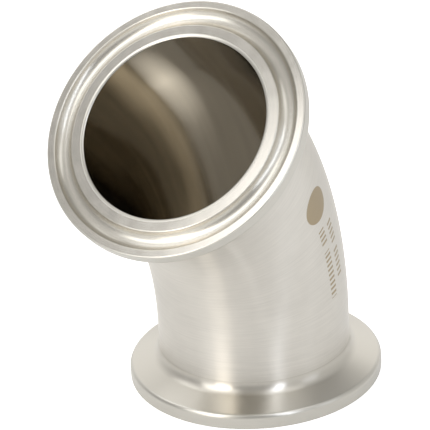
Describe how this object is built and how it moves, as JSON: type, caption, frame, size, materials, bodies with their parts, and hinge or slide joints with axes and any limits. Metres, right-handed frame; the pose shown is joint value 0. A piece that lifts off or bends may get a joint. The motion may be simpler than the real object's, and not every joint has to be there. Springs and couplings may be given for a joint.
{
  "type": "pipe elbow",
  "caption": "Stainless steel 45 degree pipe elbow for 38.1 mm tube, with a grooved, taper-backed clamp flange welded on at each end.",
  "frame": {"origin": "centre of the lower ferrule's sealing face, on the lower port's axis", "axes": "+Z along the lower port's axis into the elbow; the bend lies in the YZ plane and the upper port leaves towards -Y and +Z at 45 degrees; the part is symmetric about X = 0"},
  "size_m": [0.0506, 0.0688, 0.08],
  "materials": {
    "polished_tube": "belt-polished satin outside, mirror polished in the bore",
    "turned_ferrule": "fine turned lands, polished groove and fillet",
    "ground_weld": "ground flush and polished with the tube"
  },
  "bodies": {
    "root": {"elbow_tube": "polished_tube", "lower_ferrule": "turned_ferrule", "upper_ferrule": "turned_ferrule", "lower_weld": "ground_weld", "upper_weld": "ground_weld"}
  },
  "joints": []
}
